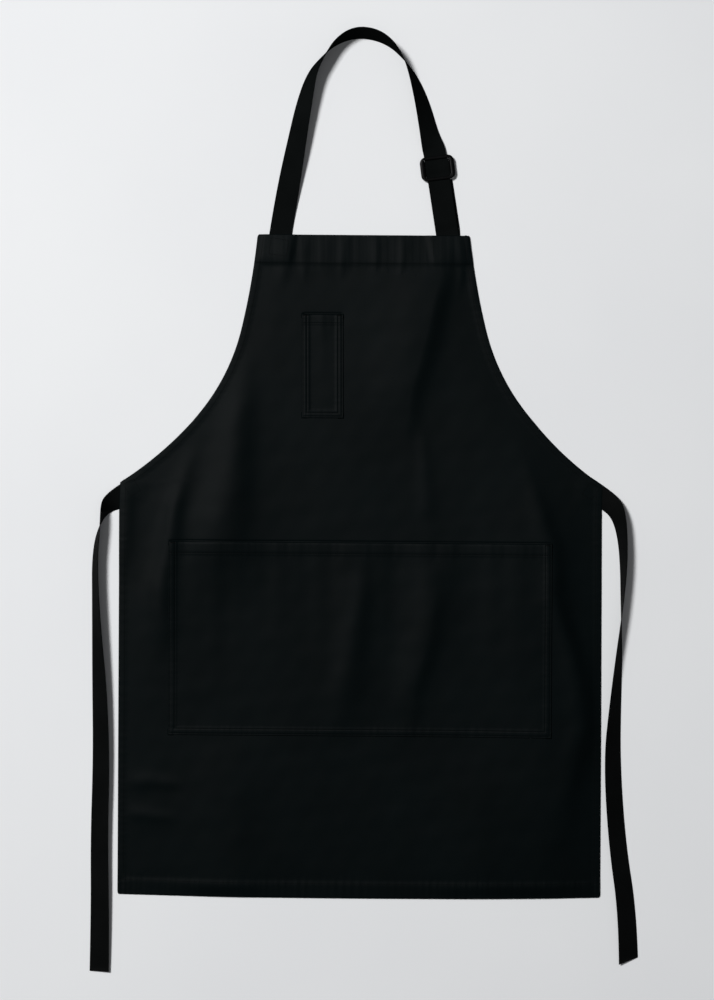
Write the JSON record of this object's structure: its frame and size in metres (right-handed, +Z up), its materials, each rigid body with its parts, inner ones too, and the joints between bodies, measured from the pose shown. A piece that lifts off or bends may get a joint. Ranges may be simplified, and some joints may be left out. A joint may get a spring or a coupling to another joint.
{
  "type": "artist smock apron",
  "caption": "Bib apron laid flat, with an adjustable neck strap and slider, waist ties, a wide front pocket and a pen pocket on the bib.",
  "frame": {"origin": "middle of the box round the apron and its neck strap, without the waist ties, at the height of the table it lies on", "axes": "+X across the apron towards the slider's side, +Y towards the neck, +Z up from the table, out of the apron's front face"},
  "size_m": [0.6854, 1.1807, 0.0281],
  "materials": {
    "cotton_twill": "black cotton twill, matt",
    "strap_webbing": "black woven webbing, matt",
    "tie_tape": "black woven tape, matt",
    "slider_plastic": "black moulded plastic, semi-gloss",
    "sewing_thread": "black sewing thread, slight sheen"
  },
  "bodies": {
    "root": {"body_panel": "cotton_twill", "top_hem": "cotton_twill", "bottom_hem": "cotton_twill", "left_armhole_hem": "cotton_twill", "right_armhole_hem": "cotton_twill", "left_side_hem": "cotton_twill", "right_side_hem": "cotton_twill", "main_pocket": "cotton_twill", "main_pocket_hem": "cotton_twill", "pen_pocket": "cotton_twill", "pen_pocket_hem": "cotton_twill", "neck_strap_end": "strap_webbing", "strap_bight": "strap_webbing", "anchor_tape": "tie_tape", "left_tie_end": "tie_tape", "right_tie_end": "tie_tape", "armhole_stitching": "sewing_thread", "side_stitching": "sewing_thread", "bottom_hem_stitching": "sewing_thread", "top_hem_stitching": "sewing_thread", "main_pocket_stitching": "sewing_thread", "main_pocket_hem_stitching": "sewing_thread", "pen_pocket_stitching": "sewing_thread", "pen_pocket_hem_stitching": "sewing_thread", "strap_stitching": "sewing_thread", "tie_stitching": "sewing_thread", "bar_tacks": "sewing_thread"},
    "neck_loop": {"neck_strap": "strap_webbing", "strap_return": "strap_webbing"},
    "slider": {"slider_frame": "slider_plastic", "strap_end_loop": "strap_webbing"},
    "left_tie": {"left_tie": "tie_tape"},
    "right_tie": {"right_tie": "tie_tape"}
  },
  "joints": [
    {"name": "neck_loop_fold", "type": "hinge", "parent": "root", "child": "neck_loop", "pos_m": [0, 0.2843, 0.005], "axis": [1, 0, 0], "range_deg": [0, 165]},
    {"name": "slider_slide", "type": "slide", "parent": "neck_loop", "child": "slider", "axis": [0.1496, -0.9887, 0], "range_m": [-0.003, 0.055]},
    {"name": "left_tie_swing", "type": "hinge", "parent": "root", "child": "left_tie", "pos_m": [-0.32937, -0.08946, 0], "axis": [0, 0, 1], "range_deg": [-90, 0]},
    {"name": "right_tie_swing", "type": "hinge", "parent": "root", "child": "right_tie", "pos_m": [0.32453, -0.18032, 0], "axis": [0, 0, 1], "range_deg": [0, 90]}
  ]
}
